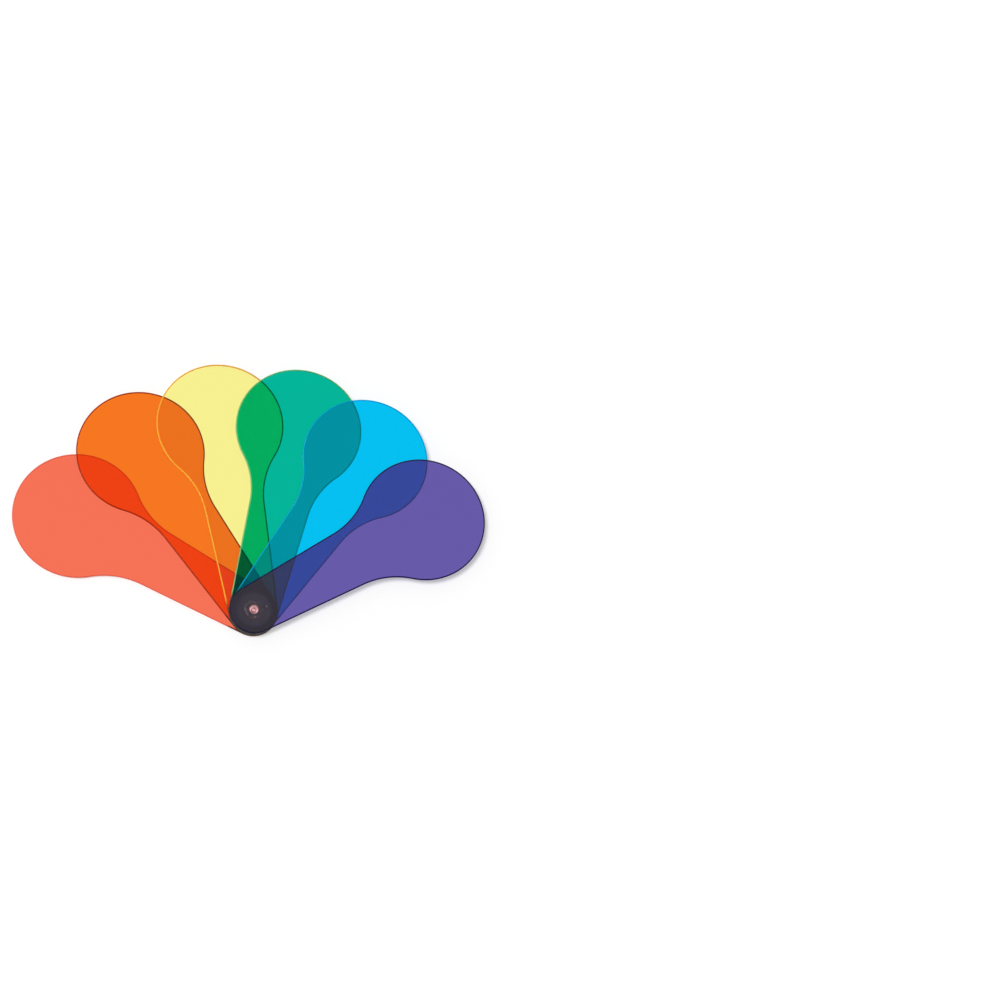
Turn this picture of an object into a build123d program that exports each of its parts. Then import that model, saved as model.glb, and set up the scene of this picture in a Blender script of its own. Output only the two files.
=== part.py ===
# Fan of six clear coloured paddles that turn on one snap rivet.
#
# Every paddle is cut from sheet to the same outline: a small round tail, a handle that widens slowly, a
# hollow neck and a large round head, each tangent to the next. The paddles lie flat on one another, one to
# a layer, and spread from the rivet like a hand of cards. The rivet's lower half is a flange with a hollow
# barrel, and its upper half is a flange with a pin, whose bead snaps into a groove inside the barrel.
#
# Millimetres and degrees. +Z is up. The origin is on the rivet's axis, in the plane that the lower flange
# stands on.
import os
from math import cos, radians, sin, sqrt

from build123d import *

# Paddle
overall_length = 152.4
head_diameter = 68.2
tail_diameter = 26.2
neck_radius = 42.0
side_taper = 3.0
sheet_thickness = 1.0
edge_chamfer = 0.2

# Rivet
barrel_diameter = 4.7
bore_diameter = 2.6
flange_diameter = 10.0
flange_thickness = 0.9
flange_round = 0.4
tip_chamfer = 0.35
bead_height = 1.4
bead_flank = 0.35
bead_rise = 0.12

# Clearances
layer_gap = 0.1
pivot_clearance = 0.08
pin_clearance = 0.04
tip_gap = 0.3

# Paddles from the lowest to the highest, and the angle from +X that each is fanned out to
paddle_colours = ["red", "orange", "yellow", "green", "blue", "purple"]
fan_angles = [149.4, 122.7, 97.7, 74.5, 52.9, 28.0]

# Heights in the stack
layer_pitch = sheet_thickness + layer_gap
stack_bottom = flange_thickness + layer_gap
barrel_top = stack_bottom + len(paddle_colours) * layer_pitch
pin_tip = flange_thickness + tip_gap
bead_level = pin_tip + bead_height

# Radii
head_radius = head_diameter / 2
tail_radius = tail_diameter / 2
barrel_radius = barrel_diameter / 2
bore_radius = bore_diameter / 2
pin_radius = bore_radius - pin_clearance
flange_radius = flange_diameter / 2

# The outline's joins, with the tail's centre at zero and the head's centre on +X. The straight side
# touches the tail's circle. The neck's arc touches that side, and touches the head's circle from outside.
centre_distance = overall_length - head_radius - tail_radius
neck_reach = neck_radius + head_radius
neck_drop = neck_radius + tail_radius + centre_distance * sin(radians(side_taper))
side_length = centre_distance * cos(radians(side_taper)) - sqrt(neck_reach**2 - neck_drop**2)
neck_join = Vector(side_length, tail_radius).rotate(Axis.Z, side_taper)
neck_centre = Vector(side_length, tail_radius + neck_radius).rotate(Axis.Z, side_taper)
head_centre = Vector(centre_distance, 0)
head_turn = (neck_centre - head_centre).get_signed_angle(Vector(1, 0), Vector(0, 0, -1))
neck_turn = head_turn - 90 - side_taper


def make_paddle(name, layer, fan_angle):
    """One paddle, cut from sheet in its own layer and turned to its place in the fan."""
    paddle_plane = Plane.XY.offset(stack_bottom + layer * layer_pitch).rotated((0, 0, fan_angle))
    with BuildPart() as paddle:
        with BuildSketch(paddle_plane):
            with BuildLine():
                tail_arc = CenterArc((0, 0), tail_radius, 180, side_taper - 90)
                Line(tail_arc @ 1, neck_join)
                CenterArc(neck_centre, neck_radius, side_taper - 90, neck_turn)
                CenterArc(head_centre, head_radius, head_turn, -head_turn)
                mirror(about=Plane.XZ)
            make_face()
            Circle(barrel_radius + pivot_clearance, mode=Mode.SUBTRACT)
        extrude(amount=sheet_thickness)
        lower_face = paddle.faces().sort_by(Axis.Z)[0]
        upper_face = paddle.faces().sort_by(Axis.Z)[-1]
        chamfer(lower_face.outer_wire().edges() + upper_face.outer_wire().edges(), edge_chamfer)
    paddle.part.label = name
    return paddle.part


# Rivet's lower half, with a blind bore and the groove that the bead snaps into
with BuildPart() as rivet_barrel:
    with BuildSketch(Plane.XZ):
        with BuildLine():
            Polyline(
                (0, 0),
                (flange_radius, 0),
                (flange_radius, flange_thickness),
                (barrel_radius, flange_thickness),
                (barrel_radius, barrel_top),
                (bore_radius, barrel_top),
                (bore_radius, bead_level + bead_flank),
                (bore_radius + bead_rise, bead_level),
                (bore_radius, bead_level - bead_flank),
                (bore_radius, flange_thickness),
                (0, flange_thickness),
                close=True,
            )
        make_face()
    revolve(axis=Axis.Z)
    fillet(rivet_barrel.faces().sort_by(Axis.Z)[0].edges(), flange_round)
rivet_barrel.part.label = "rivet_barrel"

# Rivet's upper half, with a pin that stops short of the bore's floor
with BuildPart() as rivet_pin:
    with BuildSketch(Plane.XZ):
        with BuildLine():
            Polyline(
                (0, pin_tip),
                (pin_radius - tip_chamfer, pin_tip),
                (pin_radius, pin_tip + tip_chamfer),
                (pin_radius, bead_level - bead_flank),
                (pin_radius + bead_rise, bead_level),
                (pin_radius, bead_level + bead_flank),
                (pin_radius, barrel_top),
                (flange_radius, barrel_top),
                (flange_radius, barrel_top + flange_thickness),
                (0, barrel_top + flange_thickness),
                close=True,
            )
        make_face()
    revolve(axis=Axis.Z)
    fillet(rivet_pin.faces().sort_by(Axis.Z)[-1].edges(), flange_round)
rivet_pin.part.label = "rivet_pin"

# Files, one for each piece
os.makedirs("parts", exist_ok=True)
for layer, (colour, fan_angle) in enumerate(zip(paddle_colours, fan_angles)):
    paddle = make_paddle(f"{colour}_paddle", layer, fan_angle)
    export_step(paddle, f"parts/{paddle.label}.step")
for half in (rivet_barrel.part, rivet_pin.part):
    export_step(half, f"parts/{half.label}.step")
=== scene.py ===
# Fan of six clear coloured paddles on one clear snap rivet, lying on a white table.
#
# Metres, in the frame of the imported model: +Z up, the origin on the rivet's axis and on the table top.
import bmesh
import bpy
from math import atan2, cos, log, pi, radians, sin, sqrt
from mathutils import Matrix, Vector


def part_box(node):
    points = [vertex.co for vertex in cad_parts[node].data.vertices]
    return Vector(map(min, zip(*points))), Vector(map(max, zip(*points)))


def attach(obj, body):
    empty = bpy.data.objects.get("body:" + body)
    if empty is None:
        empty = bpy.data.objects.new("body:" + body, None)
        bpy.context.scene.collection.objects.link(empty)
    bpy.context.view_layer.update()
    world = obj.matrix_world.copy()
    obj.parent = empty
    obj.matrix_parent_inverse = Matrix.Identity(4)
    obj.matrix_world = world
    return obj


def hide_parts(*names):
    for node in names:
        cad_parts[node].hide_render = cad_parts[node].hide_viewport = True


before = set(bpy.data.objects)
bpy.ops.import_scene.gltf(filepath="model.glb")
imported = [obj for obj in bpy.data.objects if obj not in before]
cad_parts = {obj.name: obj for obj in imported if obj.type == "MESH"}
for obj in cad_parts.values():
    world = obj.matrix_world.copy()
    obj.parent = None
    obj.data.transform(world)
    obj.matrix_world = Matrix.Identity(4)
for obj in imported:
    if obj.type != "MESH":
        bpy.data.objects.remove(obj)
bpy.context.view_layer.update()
millimetre = 0.001
scene = bpy.context.scene


# Camera
# A long lens high above the table, a little to the left of the fan and in front of it. Its place comes from
# where the rivet stands in the photograph, how large a millimetre is there, and the two small tilts that the
# outlines show.
sensor_width = 36 * millimetre
frame_pixels = 1001
frame_centre_pixel = 500
rivet_pixel_x = 252.26
rivet_pixel_y = 611.74
focal_pixels = 2685.9
pixel_at_rivet = 0.52769 * millimetre
tilt_back = radians(17.69)
tilt_left = radians(11.925)
aim_height = 1.5 * millimetre
farthest_seen = 20.0
most_bounces = 40
most_reflections = 16

camera_distance = focal_pixels * pixel_at_rivet
turn_to_camera = Matrix.Rotation(tilt_left, 4, "Y") @ Matrix.Rotation(-tilt_back, 4, "X")
rivet_seen_from_camera = Vector((
    (rivet_pixel_x - frame_centre_pixel) * pixel_at_rivet,
    (frame_centre_pixel - rivet_pixel_y) * pixel_at_rivet,
    -camera_distance,
))
turn_from_camera = turn_to_camera.transposed()
camera_place = Vector((0, 0, aim_height)) - turn_from_camera.to_3x3() @ rivet_seen_from_camera

camera_data = bpy.data.cameras.new("camera")
camera_data.sensor_width = sensor_width / millimetre
camera_data.lens = focal_pixels / frame_pixels * camera_data.sensor_width
camera_data.clip_end = farthest_seen
camera = bpy.data.objects.new("camera", camera_data)
camera.matrix_world = Matrix.Translation(camera_place) @ turn_from_camera
scene.collection.objects.link(camera)
scene.camera = camera

scene.view_settings.view_transform = "Standard"
# At the rivet, light passes eight clear pieces with two surfaces each on its way down to the table, and as
# many on its way up.
scene.cycles.max_bounces = most_bounces
scene.cycles.transmission_bounces = most_bounces
scene.cycles.glossy_bounces = most_reflections


# Table
# A matt white laminate table top, larger than the view. Part of its white doesn't depend on the light that
# falls on it: most of it under the clear sheets, as paper stays bright under a sheet that lies on it, and
# less beside them, where it takes the fan's thin shadow.
table_half_width = 3.0
table_white = "#ffffff"
table_bounce_grey = "#a0a0a0"
white_kept_under_sheets = 0.94
white_kept_beside_sheets = 0.4


def linear(hex_colour):
    """The linear colour of an sRGB hex value."""
    channels = [int(hex_colour[start:start + 2], 16) / 255 for start in (1, 3, 5)]
    return tuple(c / 12.92 if c <= 0.04045 else ((c + 0.055) / 1.055) ** 2.4 for c in channels)


def add_node(tree, kind, inputs=None, **settings):
    """Adds a node with its settings, and with its inputs set to values or linked to other nodes' outputs."""
    node = tree.nodes.new(kind)
    for name, value in settings.items():
        setattr(node, name, value)
    for name, value in (inputs or {}).items():
        if isinstance(value, bpy.types.NodeSocket):
            tree.links.new(value, node.inputs[name])
        else:
            node.inputs[name].default_value = value
    return node


def new_material(name):
    """A material with nothing in it yet, and its node tree."""
    material = bpy.data.materials.new(name)
    material.use_nodes = True
    material.node_tree.nodes.clear()
    return material, material.node_tree


def new_piece(name, mesh):
    """Links a mesh into the scene as a piece at the origin."""
    piece = bpy.data.objects.new(name, mesh)
    scene.collection.objects.link(piece)
    return piece


# Laminate pressed with a matt skin, which gives an even white without gloss. The light that it scatters on
# to the fan is held down to a grey's, so that the blades' rims stay as dark as the real ones.
table_material, table_tree = new_material("white_laminate_table")
ray = add_node(table_tree, "ShaderNodeLightPath")
table_colour = add_node(table_tree, "ShaderNodeMix", {
    "Factor": ray.outputs["Is Diffuse Ray"],
    "A": (*linear(table_white), 1),
    "B": (*linear(table_bounce_grey), 1),
}, data_type="RGBA")
table_matt = add_node(table_tree, "ShaderNodeBsdfDiffuse", {"Color": table_colour.outputs["Result"]})
table_glow = add_node(
    table_tree, "ShaderNodeEmission", {"Color": (*linear(table_white), 1), "Strength": 1.0})
beside_sheets = add_node(
    table_tree, "ShaderNodeMath", {0: ray.outputs["Is Camera Ray"], 1: white_kept_beside_sheets},
    operation="MULTIPLY")
white_kept = add_node(
    table_tree, "ShaderNodeMath",
    {0: ray.outputs["Is Transmission Ray"], 1: white_kept_under_sheets, 2: beside_sheets.outputs[0]},
    operation="MULTIPLY_ADD")
table_look = add_node(
    table_tree, "ShaderNodeMixShader",
    {0: white_kept.outputs[0], 1: table_matt.outputs[0], 2: table_glow.outputs[0]})
add_node(table_tree, "ShaderNodeOutputMaterial", {"Surface": table_look.outputs[0]})

table_bm = bmesh.new()
bmesh.ops.create_grid(table_bm, x_segments=1, y_segments=1, size=table_half_width)
table_mesh = bpy.data.meshes.new("table")
table_bm.to_mesh(table_mesh)
table_bm.free()
table_mesh.materials.append(table_material)
table = new_piece("table", table_mesh)


# Light
# A plain white room that is brighter at the left. Glossy faces mirror its walls, which darken towards the
# ceiling, and a large window at the left. One soft lamp, high at the left, gives the thin shadow on the
# right-hand and lower sides of the fan.
room_white = "#ffffff"
room_level = 0.3
room_bright_side_share = 0.7
room_seen_level = 1.0
room_level_through_sheets = 0.04
room_level_inside_sheets = 0.8
first_scatter = 0.5
wall_reflected_level = 0.7
ceiling_reflected_level = 0.06
wall_top_elevation = radians(45)
window_level = 3.5
window_azimuth = radians(172)
window_elevation = radians(38)
window_half_width = radians(32)
window_soft_border = radians(10)
lamp_level = 0.7
lamp_azimuth = radians(186)
lamp_elevation = radians(68)
lamp_spread = radians(18)


def direction_to(azimuth, elevation):
    """The unit vector from the table towards a place in the room."""
    return Vector((cos(azimuth) * cos(elevation), sin(azimuth) * cos(elevation), sin(elevation)))


room = bpy.data.worlds.new("white_room")
room.use_nodes = True
room_tree = room.node_tree
room_tree.nodes.clear()
room_ray = add_node(room_tree, "ShaderNodeLightPath")
room_direction = add_node(room_tree, "ShaderNodeTexCoord").outputs["Generated"]
towards_bright_side = add_node(
    room_tree, "ShaderNodeVectorMath", {0: room_direction, 1: direction_to(window_azimuth, 0)},
    operation="DOT_PRODUCT")
room_lighting = add_node(
    room_tree, "ShaderNodeMath",
    {0: towards_bright_side.outputs["Value"], 1: room_level * room_bright_side_share, 2: room_level},
    operation="MULTIPLY_ADD")
towards_window = add_node(
    room_tree, "ShaderNodeVectorMath",
    {0: room_direction, 1: direction_to(window_azimuth, window_elevation)}, operation="DOT_PRODUCT")
room_height = add_node(room_tree, "ShaderNodeSeparateXYZ", {0: room_direction})
room_walls = add_node(room_tree, "ShaderNodeMapRange", {
    "Value": room_height.outputs["Z"],
    "From Min": 0.0,
    "From Max": sin(wall_top_elevation),
    "To Min": wall_reflected_level,
    "To Max": ceiling_reflected_level,
}, interpolation_type="SMOOTHSTEP")
room_reflected = add_node(room_tree, "ShaderNodeMapRange", {
    "Value": towards_window.outputs["Value"],
    "From Min": cos(window_half_width + window_soft_border),
    "From Max": cos(window_half_width),
    "To Min": room_walls.outputs["Result"],
    "To Max": window_level,
}, interpolation_type="SMOOTHSTEP")
room_if_reflected = add_node(room_tree, "ShaderNodeMix", {
    "Factor": room_ray.outputs["Is Glossy Ray"],
    "A": room_seen_level,
    "B": room_reflected.outputs["Result"],
})
is_scattered = add_node(
    room_tree, "ShaderNodeMath", {0: room_ray.outputs["Diffuse Depth"], 1: first_scatter},
    operation="GREATER_THAN")
room_through_sheets = add_node(room_tree, "ShaderNodeMix", {
    "Factor": is_scattered.outputs[0],
    "A": room_level_through_sheets,
    "B": room_level_inside_sheets,
})
room_if_seen_through = add_node(room_tree, "ShaderNodeMix", {
    "Factor": room_ray.outputs["Is Transmission Ray"],
    "A": room_if_reflected.outputs["Result"],
    "B": room_through_sheets.outputs["Result"],
})
room_strength = add_node(room_tree, "ShaderNodeMix", {
    "Factor": room_ray.outputs["Is Diffuse Ray"],
    "A": room_if_seen_through.outputs["Result"],
    "B": room_lighting.outputs[0],
})
room_glow = add_node(
    room_tree, "ShaderNodeBackground",
    {"Color": (*linear(room_white), 1), "Strength": room_strength.outputs["Result"]})
add_node(room_tree, "ShaderNodeOutputWorld", {"Surface": room_glow.outputs[0]})
scene.world = room

# The lamp itself isn't seen in reflections or through the sheets.
lamp_data = bpy.data.lights.new("soft_lamp", "SUN")
lamp_data.energy = lamp_level * pi / sin(lamp_elevation)
lamp_data.angle = lamp_spread
lamp = bpy.data.objects.new("soft_lamp", lamp_data)
lamp_turn = direction_to(lamp_azimuth, lamp_elevation).to_track_quat("Z", "Y")
lamp.matrix_world = lamp_turn.to_matrix().to_4x4()
lamp.visible_transmission = False
lamp.visible_glossy = False
scene.collection.objects.link(lamp)


# Paddles
# Six blades of clear dyed acrylic sheet, all cut to one outline, with their edges rounded and left satin.
# They lie one to a layer and turn on the rivet's barrel.
overall_length = 152.4 * millimetre
head_radius = 34.1 * millimetre
tail_radius = 13.1 * millimetre
neck_radius = 42.0 * millimetre
side_taper = radians(3)
sheet_thickness = 1.0 * millimetre
edge_round = 0.46 * millimetre
edge_border = 0.2 * millimetre
hole_radius = 2.43 * millimetre
arc_step = radians(2)
fewest_arc_steps = 2
edge_round_steps = 4
hole_steps = 96
flat_normal = 0.999

same_place = edge_round / 100
centre_distance = overall_length - head_radius - tail_radius
neck_reach = neck_radius + head_radius
neck_drop = neck_radius + tail_radius + centre_distance * sin(side_taper)
side_length = centre_distance * cos(side_taper) - sqrt(neck_reach ** 2 - neck_drop ** 2)
side_turn = Matrix.Rotation(side_taper, 3, "Z")
neck_join = side_turn @ Vector((side_length, tail_radius, 0))
neck_centre = side_turn @ Vector((side_length, tail_radius + neck_radius, 0))
head_centre = Vector((centre_distance, 0, 0))
head_to_neck = neck_centre - head_centre
head_turn = atan2(head_to_neck.y, head_to_neck.x)
tail_turn = pi / 2 - side_taper
neck_turn = head_turn - pi / 2 - side_taper


def draw_arc(bm, start, centre, turn):
    """Draws an arc on from a vertex and returns the vertex that it ends on."""
    steps = max(fewest_arc_steps, round(abs(turn) / arc_step))
    spun = bmesh.ops.spin(bm, geom=[start], cent=centre, axis=(0, 0, 1), angle=turn, steps=steps)
    return [item for item in spun["geom_last"] if isinstance(item, bmesh.types.BMVert)][0]


def paddle_mesh(name, underside, fan_angle):
    """One blade, drawn flat, given its thickness and rounded edges, and turned to its place in the fan."""
    bm = bmesh.new()
    rim_mark = bm.faces.layers.float.new("rim")
    pen = bm.verts.new((-tail_radius, 0, 0))
    pen = draw_arc(bm, pen, (0, 0, 0), -tail_turn)
    side_end = bm.verts.new(neck_join)
    bm.edges.new((pen, side_end))
    pen = draw_arc(bm, side_end, neck_centre, neck_turn)
    draw_arc(bm, pen, head_centre, -head_turn)
    bmesh.ops.mirror(bm, geom=bm.verts[:] + bm.edges[:], axis="Y", merge_dist=same_place)
    bmesh.ops.contextual_create(bm, geom=bm.edges[:])
    raised = bmesh.ops.extrude_face_region(bm, geom=bm.faces[:], use_keep_orig=True)
    raised_verts = [item for item in raised["geom"] if isinstance(item, bmesh.types.BMVert)]
    bmesh.ops.translate(bm, verts=raised_verts, vec=(0, 0, sheet_thickness))
    rims = [edge for edge in bm.edges if edge.verts[0].co.z == edge.verts[1].co.z]
    bmesh.ops.bevel(
        bm, geom=rims, offset=edge_round, segments=edge_round_steps, profile=0.5, affect="EDGES",
        material=-1)
    caps = sorted(bm.faces, key=lambda face: face.calc_area())[-2:]
    borders = bmesh.ops.inset_region(bm, faces=caps, thickness=edge_border, use_even_offset=True)
    for face in borders["faces"]:
        face[rim_mark] = 1.0
    bmesh.ops.delete(bm, geom=caps, context="FACES_ONLY")
    hole_edges = []
    for height in (0, sheet_thickness):
        outline = [
            edge for edge in bm.edges
            if edge.is_boundary and abs(edge.verts[0].co.z - height) < same_place
        ]
        circle = bmesh.ops.create_circle(
            bm, cap_ends=False, segments=hole_steps, radius=hole_radius,
            matrix=Matrix.Translation((0, 0, height)))
        circle_edges = list({edge for vert in circle["verts"] for edge in vert.link_edges})
        hole_edges += circle_edges
        bmesh.ops.triangle_fill(bm, use_beauty=True, edges=outline + circle_edges)
    bmesh.ops.bridge_loops(bm, edges=hole_edges)
    bmesh.ops.recalc_face_normals(bm, faces=bm.faces[:])
    for face in bm.faces:
        if abs(face.normal.z) < flat_normal:
            face.smooth = True
            face[rim_mark] = 1.0
    place = Matrix.Translation((0, 0, underside)) @ Matrix.Rotation(fan_angle, 4, "Z")
    bmesh.ops.transform(bm, matrix=place, verts=bm.verts[:])
    mesh = bpy.data.meshes.new(name)
    bm.to_mesh(mesh)
    bm.free()
    return mesh


acrylic_ior = 1.25
acrylic_specular_level = 0.4
deepest_colour = 0.001
clearest_depth = 0.99
density_headroom = 1.02
polished_roughness = 0.02
rubbed_roughness = 0.05
edge_roughness = 0.16
rub_mark_length = 9 * millimetre
rub_mark_detail = 6.0
rub_mark_grain = 0.6
faintest_rub_mark = 0.35
strongest_rub_mark = 0.75
worn_radius = 12.5 * millimetre
worn_border = 1.5 * millimetre
worn_haze = 0.04
# Painted shade: near the rivet, where the tails' rims stand stacked, the rims are darkened towards this
# colour.
painted_shade_radius = 16.0 * millimetre
painted_shade_border = 1.5 * millimetre
painted_shade_strength = 0.88
painted_shade_colour = "#241c20"
grit_spacing = 3.2 * millimetre
grit_radius = 0.13 * millimetre
grit_share = 0.15
grit_colour = "#ffffff"


def dyed_acrylic(name, hex_through_sheet, hex_at_surface, hex_at_edge_with_painted_lines, edge_clarity, haze):
    """Cast acrylic dyed through, with a trace of haze. Its faces are as cast, glossy with light rub marks,
    and a little hazier, with specks of grit, where the blades rub on one another around the rivet. Its edges
    are cut and rounded, satin, so that they catch the light from the left and stay dark on the right. Their
    tint is partly the cut edge's own, paler or deeper than the faces', and partly painted highlight and
    shade for the bright and dark edge lines, and near the rivet painted shade darkens them. The IOR is
    matched below acrylic's usual 1.49, so that stacked sheets stay as light as the real ones."""
    material, tree = new_material(name)
    # The surface tints the light, and the dye takes the rest of the colour out over the sheet's thickness.
    at_surface = [max(level, deepest_colour) for level in linear(hex_at_surface)]
    passed = [max(level, deepest_colour) for level in linear(hex_through_sheet)]
    in_depth = [min(through / surface, clearest_depth) for through, surface in zip(passed, at_surface)]
    absorption = [-log(level) / sheet_thickness for level in in_depth]
    density = max(absorption) * density_headroom
    dye = add_node(tree, "ShaderNodeVolumeAbsorption", {
        "Color": (*[1 - level / density for level in absorption], 1),
        "Density": density,
    })
    place = add_node(tree, "ShaderNodeTexCoord").outputs["Object"]
    rub_marks = add_node(tree, "ShaderNodeTexNoise", {
        "Vector": place,
        "Scale": 1 / rub_mark_length,
        "Detail": rub_mark_detail,
        "Roughness": rub_mark_grain,
    })
    face_roughness = add_node(tree, "ShaderNodeMapRange", {
        "Value": rub_marks.outputs["Fac"],
        "From Min": faintest_rub_mark,
        "From Max": strongest_rub_mark,
        "To Min": polished_roughness,
        "To Max": rubbed_roughness,
    })
    from_rivet = add_node(tree, "ShaderNodeVectorMath", {0: place}, operation="LENGTH")
    worn = add_node(tree, "ShaderNodeMapRange", {
        "Value": from_rivet.outputs["Value"],
        "From Min": worn_radius,
        "From Max": worn_radius - worn_border,
    }, interpolation_type="SMOOTHSTEP")
    grit = add_node(
        tree, "ShaderNodeTexVoronoi", {"Vector": place, "Scale": 1 / grit_spacing},
        voronoi_dimensions="2D")
    grit_here = add_node(
        tree, "ShaderNodeMath", {0: grit.outputs["Distance"], 1: grit_radius / grit_spacing},
        operation="LESS_THAN")
    grit_pick = add_node(tree, "ShaderNodeSeparateColor", {"Color": grit.outputs["Color"]})
    grit_chosen = add_node(
        tree, "ShaderNodeMath", {0: grit_pick.outputs["Red"], 1: grit_share}, operation="LESS_THAN")
    worn_grit = add_node(
        tree, "ShaderNodeMath", {0: grit_here.outputs[0], 1: worn.outputs["Result"]}, operation="MULTIPLY")
    speck = add_node(
        tree, "ShaderNodeMath", {0: worn_grit.outputs[0], 1: grit_chosen.outputs[0]}, operation="MULTIPLY")
    rim = add_node(tree, "ShaderNodeAttribute", attribute_name="rim")
    roughness = add_node(tree, "ShaderNodeMix", {
        "Factor": rim.outputs["Fac"],
        "A": face_roughness.outputs["Result"],
        "B": edge_roughness,
    })
    face_colour = add_node(tree, "ShaderNodeMix", {
        "Factor": speck.outputs[0],
        "A": (*at_surface, 1),
        "B": (*linear(grit_colour), 1),
    }, data_type="RGBA")
    # Painted shade on the rims near the rivet, where the stacked tails lie in shade.
    painted_shade = add_node(tree, "ShaderNodeMapRange", {
        "Value": from_rivet.outputs["Value"],
        "From Min": painted_shade_radius,
        "From Max": painted_shade_radius - painted_shade_border,
        "To Max": painted_shade_strength,
    })
    # Painted highlight and shade: the edge's tint carries the bright and dark edge lines, and painted shade
    # darkens it near the rivet.
    edge_colour_with_painted_shade = add_node(tree, "ShaderNodeMix", {
        "Factor": painted_shade.outputs["Result"],
        "A": (*linear(hex_at_edge_with_painted_lines), 1),
        "B": (*linear(painted_shade_colour), 1),
    }, data_type="RGBA")
    colour = add_node(tree, "ShaderNodeMix", {
        "Factor": rim.outputs["Fac"],
        "A": face_colour.outputs["Result"],
        "B": edge_colour_with_painted_shade.outputs["Result"],
    }, data_type="RGBA")
    worn_marks = add_node(
        tree, "ShaderNodeMath", {0: worn.outputs["Result"], 1: rub_marks.outputs["Fac"]},
        operation="MULTIPLY")
    face_clarity = add_node(
        tree, "ShaderNodeMath", {0: worn_marks.outputs[0], 1: -worn_haze, 2: 1 - haze},
        operation="MULTIPLY_ADD")
    specked_clarity = add_node(tree, "ShaderNodeMix", {
        "Factor": speck.outputs[0],
        "A": face_clarity.outputs[0],
        "B": 0.0,
    })
    clarity = add_node(tree, "ShaderNodeMix", {
        "Factor": rim.outputs["Fac"],
        "A": specked_clarity.outputs["Result"],
        "B": edge_clarity,
    })
    gloss = add_node(tree, "ShaderNodeBsdfPrincipled", {
        "Base Color": colour.outputs["Result"],
        "Roughness": roughness.outputs["Result"],
        "IOR": acrylic_ior,
        "Specular IOR Level": acrylic_specular_level,
        "Transmission Weight": clarity.outputs["Result"],
    })
    add_node(tree, "ShaderNodeOutputMaterial", {"Surface": gloss.outputs[0], "Volume": dye.outputs[0]})
    return material


# From the lowest blade to the highest: its name, its angle in the fan in degrees, and its looks, which are
# the colours through the sheet, at its surface and on its edge, the edge's clarity and the haze. The edge
# colour is partly the cut edge's own tint and partly painted highlight and shade for the edge lines.
paddles = (
    ("red", 149.4, ("#fb7558", "#ffb8a4", "#f89880", 0.75, 0.02)),
    ("orange", 122.7, ("#fc791c", "#ffa850", "#b03000", 0.35, 0.05)),
    ("yellow", 97.7, ("#fdf696", "#fffccc", "#ffb838", 0.25, 0.01)),
    ("green", 74.5, ("#00ba9d", "#08e0c8", "#98e494", 0.5, 0.03)),
    ("blue", 52.9, ("#00c6f8", "#08e6ff", "#00d0f8", 0.55, 0.08)),
    ("purple", 28.0, ("#6254ae", "#ccc0c8", "#1a0c4c", 0.05, 0.04)),
)
for colour_name, fan_angle, looks in paddles:
    node = colour_name + "_paddle"
    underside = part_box(node)[0].z
    mesh = paddle_mesh(colour_name + "_blade", underside, radians(fan_angle))
    mesh.materials.append(dyed_acrylic(colour_name + "_acrylic", *looks))
    blade = new_piece(colour_name + "_blade", mesh)
    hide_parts(node)
    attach(blade, colour_name)


# Rivet
# Two halves of clear moulded polypropylene, snapped together through the holes of the blades. The lower one
# has a flange and a hollow barrel, and the upper one a flange and the pin whose bead snaps into the barrel's
# groove.
flange_radius = 5.0 * millimetre
flange_thickness = 0.9 * millimetre
flange_round = 0.4 * millimetre
barrel_radius = 2.35 * millimetre
bore_radius = 1.3 * millimetre
pin_clearance = 0.04 * millimetre
tip_gap = 0.3 * millimetre
tip_chamfer = 0.35 * millimetre
bead_height = 1.4 * millimetre
bead_flank = 0.35 * millimetre
bead_rise = 0.12 * millimetre
seat_gap = 0.02 * millimetre
flange_round_steps = 6
turned_steps = 96
upright_normal = 0.9
sharp_corner = radians(25)

barrel_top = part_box("rivet_barrel")[1].z
rivet_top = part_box("rivet_pin")[1].z
pin_radius = bore_radius - pin_clearance
pin_tip = flange_thickness + tip_gap
bead_level = pin_tip + bead_height
wall_reach = 1.1 * barrel_radius
same_corner = seat_gap / 10


def turned_mesh(name, half_section, rounded):
    """A round piece: its half section, with one of its corners rounded, spun about the rivet's axis."""
    bm = bmesh.new()
    corners = [bm.verts.new((radius, 0, height)) for radius, height in half_section]
    for start, end in zip(corners, corners[1:]):
        bm.edges.new((start, end))
    bmesh.ops.bevel(
        bm, geom=[corners[half_section.index(rounded)]], offset=flange_round,
        segments=flange_round_steps, profile=0.5, affect="VERTICES", material=-1)
    bmesh.ops.spin(
        bm, geom=bm.verts[:] + bm.edges[:], cent=(0, 0, 0), axis=(0, 0, 1), angle=2 * pi, steps=turned_steps,
        use_merge=True)
    bmesh.ops.remove_doubles(bm, verts=bm.verts[:], dist=same_corner)
    bmesh.ops.recalc_face_normals(bm, faces=bm.faces[:])
    wall_mark = bm.faces.layers.float.new("wall")
    for face in bm.faces:
        off_axis = face.calc_center_median().xy.length
        face[wall_mark] = float(abs(face.normal.z) < upright_normal and off_axis < wall_reach)
    mesh = bpy.data.meshes.new(name)
    bm.to_mesh(mesh)
    bm.free()
    mesh.shade_smooth()
    mesh.set_sharp_from_angle(angle=sharp_corner)
    return mesh


polypropylene_clear = "#ffffff"
polypropylene_ior = 1.49
flange_roughness = 0.08
wall_roughness = 0.5
painted_red_light_colour = "#fd7c89"
painted_red_light_density = 95.0
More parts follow.
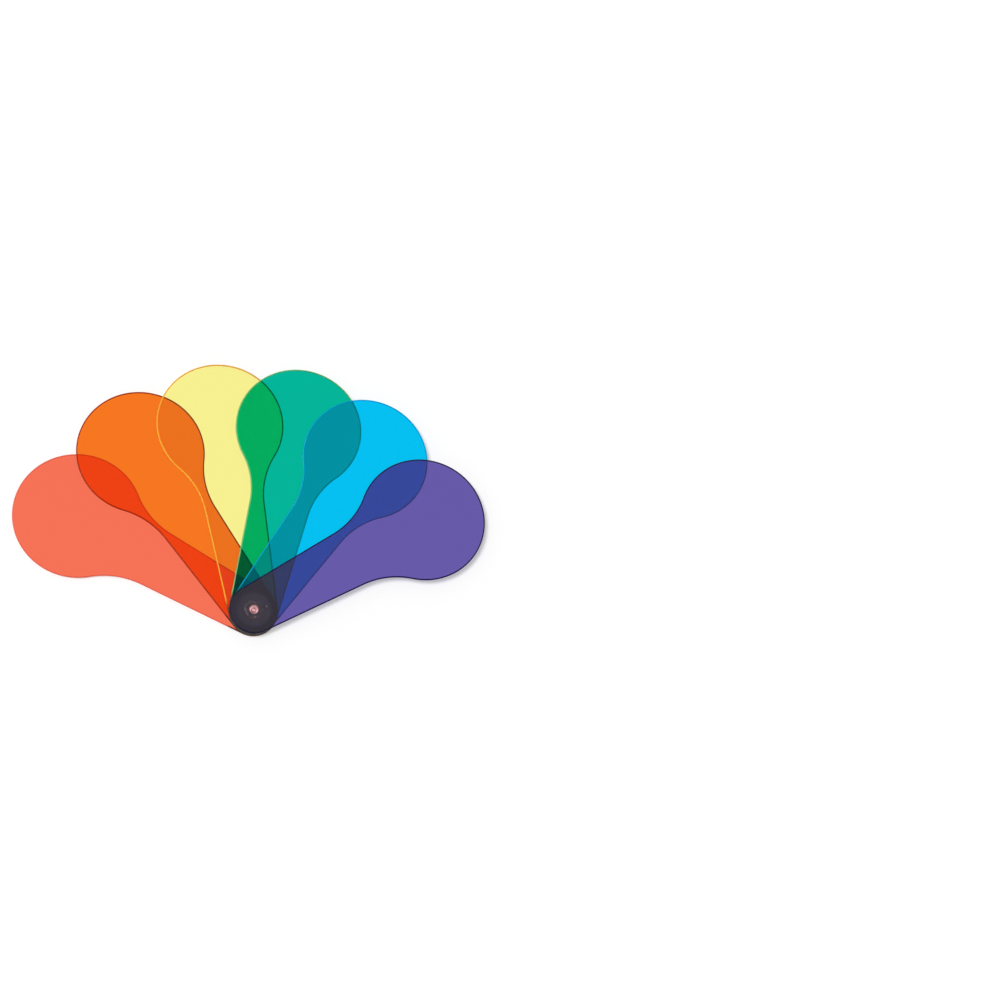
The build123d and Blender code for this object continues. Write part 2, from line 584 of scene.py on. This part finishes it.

# Polypropylene, moulded clear. Its flanges are glossy from the mould, and the walls of the barrel and the
# pin are dull and scatter what passes them, so the pivot shows as one small soft spot. A rose tint in its
# depth paints in the red light that the red blade sends into the pivot, and gives that spot its pink.
clear_material, clear_tree = new_material("clear_polypropylene")
wall = add_node(clear_tree, "ShaderNodeAttribute", attribute_name="wall")
clear_roughness = add_node(
    clear_tree, "ShaderNodeMix", {"Factor": wall.outputs["Fac"], "A": flange_roughness, "B": wall_roughness})
clear_gloss = add_node(clear_tree, "ShaderNodeBsdfPrincipled", {
    "Base Color": (*linear(polypropylene_clear), 1),
    "Roughness": clear_roughness.outputs["Result"],
    "IOR": polypropylene_ior,
    "Transmission Weight": 1.0,
})
# Painted light: this rose tint in the clear plastic stands in for the red light from the red blade.
painted_red_light = add_node(
    clear_tree, "ShaderNodeVolumeAbsorption",
    {"Color": (*linear(painted_red_light_colour), 1), "Density": painted_red_light_density})
add_node(
    clear_tree, "ShaderNodeOutputMaterial",
    {"Surface": clear_gloss.outputs[0], "Volume": painted_red_light.outputs[0]})

barrel_mesh = turned_mesh("rivet_socket", (
    (0, 0),
    (flange_radius, 0),
    (flange_radius, flange_thickness),
    (barrel_radius, flange_thickness),
    (barrel_radius, barrel_top - seat_gap),
    (bore_radius, barrel_top - seat_gap),
    (bore_radius, bead_level + bead_flank),
    (bore_radius + bead_rise, bead_level),
    (bore_radius, bead_level - bead_flank),
    (bore_radius, flange_thickness),
    (0, flange_thickness),
), rounded=(flange_radius, 0))
pin_mesh = turned_mesh("rivet_stud", (
    (0, pin_tip),
    (pin_radius - tip_chamfer, pin_tip),
    (pin_radius, pin_tip + tip_chamfer),
    (pin_radius, bead_level - bead_flank),
    (pin_radius + bead_rise, bead_level),
    (pin_radius, bead_level + bead_flank),
    (pin_radius, barrel_top),
    (flange_radius, barrel_top),
    (flange_radius, rivet_top),
    (0, rivet_top),
), rounded=(flange_radius, rivet_top))
# The clear halves cast no shadow of their own.
for mesh, node in ((barrel_mesh, "rivet_barrel"), (pin_mesh, "rivet_pin")):
    mesh.materials.append(clear_material)
    half = new_piece(mesh.name, mesh)
    half.visible_shadow = False
    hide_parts(node)
    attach(half, "rivet")
